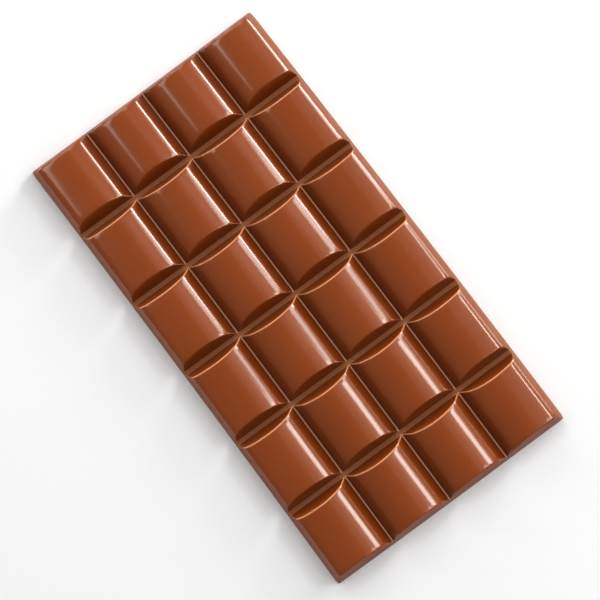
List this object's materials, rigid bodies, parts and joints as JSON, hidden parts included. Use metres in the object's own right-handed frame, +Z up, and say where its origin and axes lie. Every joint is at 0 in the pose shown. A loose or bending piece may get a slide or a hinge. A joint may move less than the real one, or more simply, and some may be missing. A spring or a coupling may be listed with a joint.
{
  "type": "chocolate bar",
  "caption": "Flat moulded milk chocolate tablet, its front divided by lengthwise valleys and cross grooves into rows of arched pieces to snap off.",
  "frame": {"origin": "centre of the flat back that the tablet lies on", "axes": "+X across the tablet's width, +Y along its length, +Z up out of the arched front"},
  "size_m": [0.081, 0.151, 0.0084],
  "materials": {
    "chocolate": "satin milk chocolate, smooth from the mould"
  },
  "bodies": {
    "root": {"chocolate_bar": "chocolate"}
  },
  "joints": []
}
